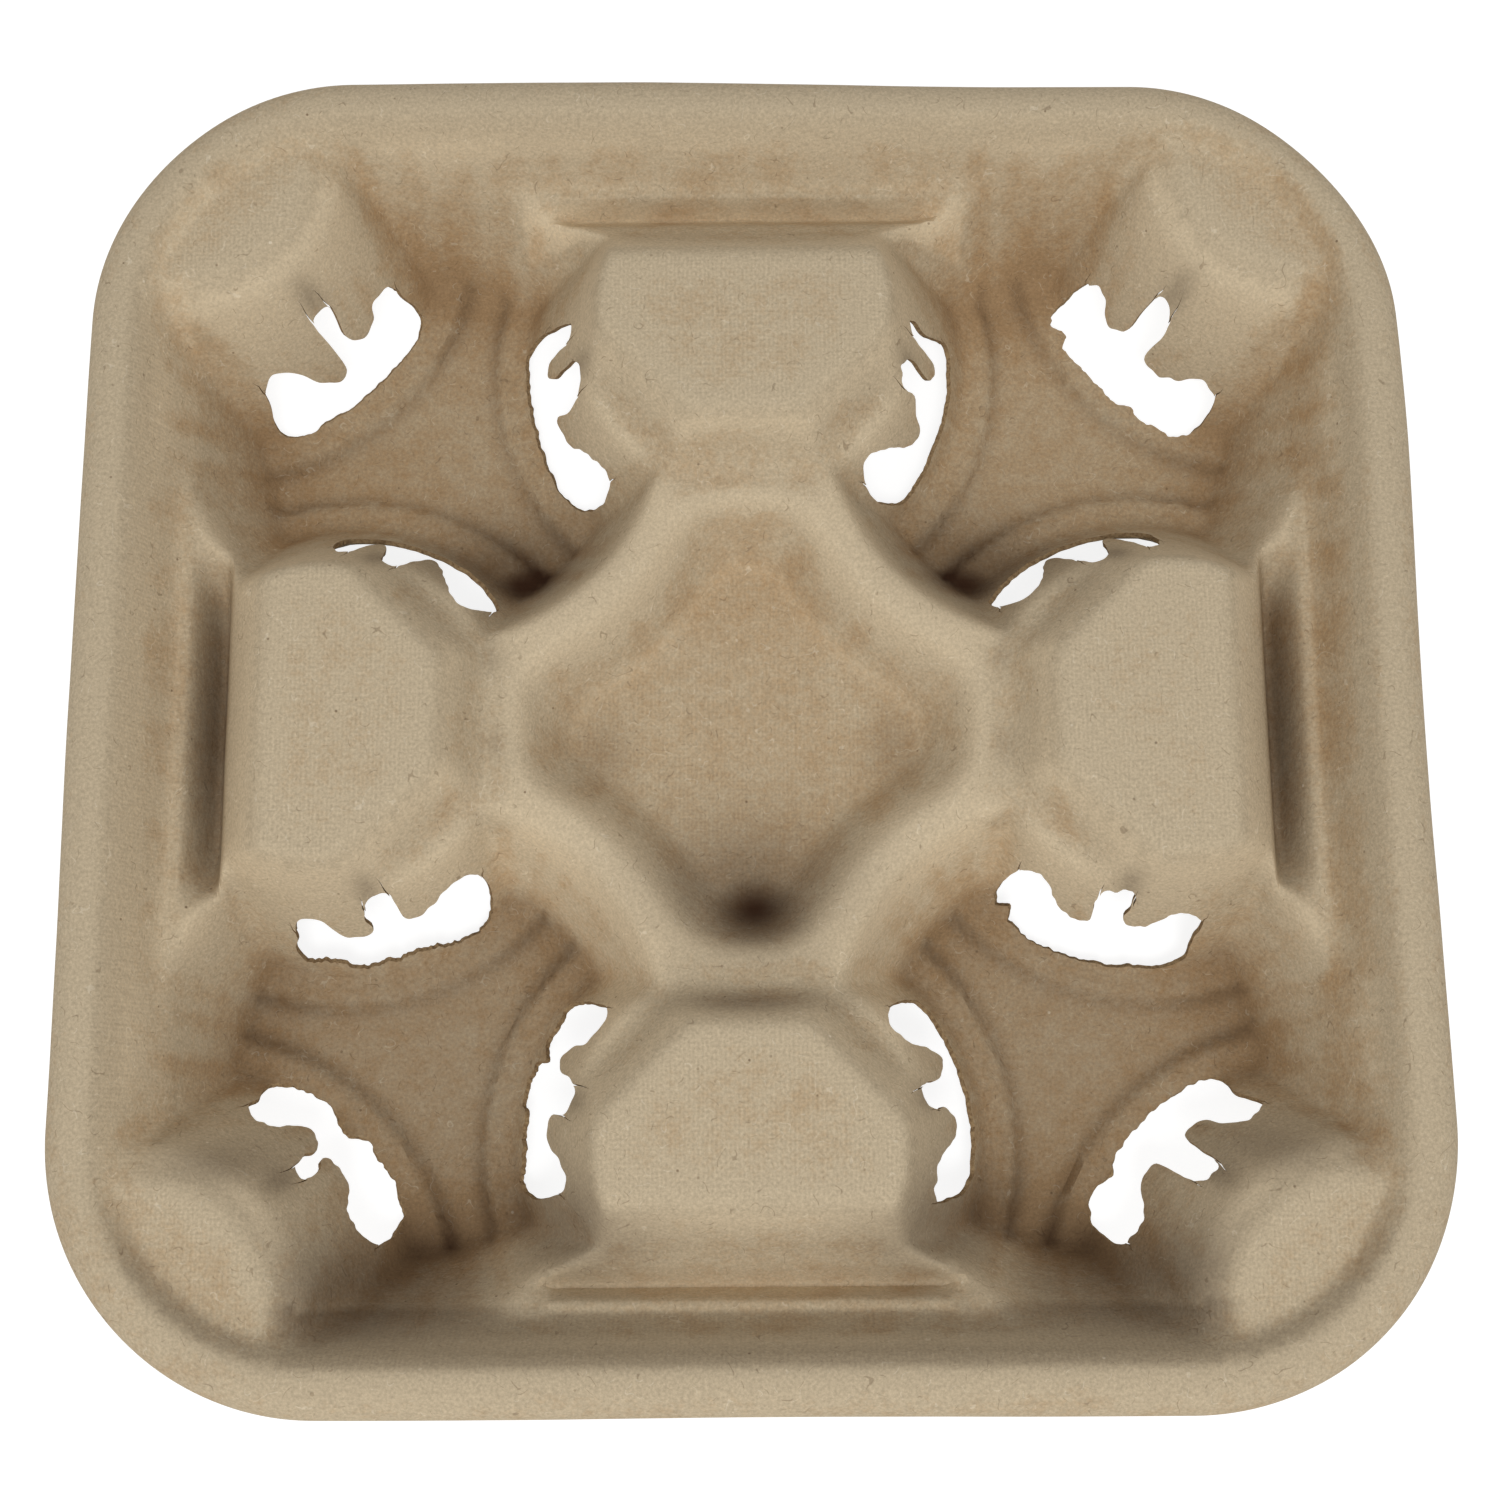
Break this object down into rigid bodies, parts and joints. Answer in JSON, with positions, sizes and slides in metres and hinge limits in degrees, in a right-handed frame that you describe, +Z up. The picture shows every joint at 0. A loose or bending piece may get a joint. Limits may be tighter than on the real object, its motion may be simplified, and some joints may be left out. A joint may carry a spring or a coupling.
{
  "type": "cup carrier tray",
  "caption": "Square moulded-pulp takeaway cup carrier with a rolled rim, funnel wells held by slotted spring tabs, raised pads and a diamond pit in the middle.",
  "frame": {"origin": "centre of the tray, level with the underside of the well floors", "axes": "+Z up through the open side; X and Y run square to the tray's sides"},
  "size_m": [0.216, 0.216, 0.04],
  "materials": {
    "moulded_pulp": "matt moulded pulp"
  },
  "bodies": {
    "root": {"cup_carrier": "moulded_pulp"}
  },
  "joints": []
}
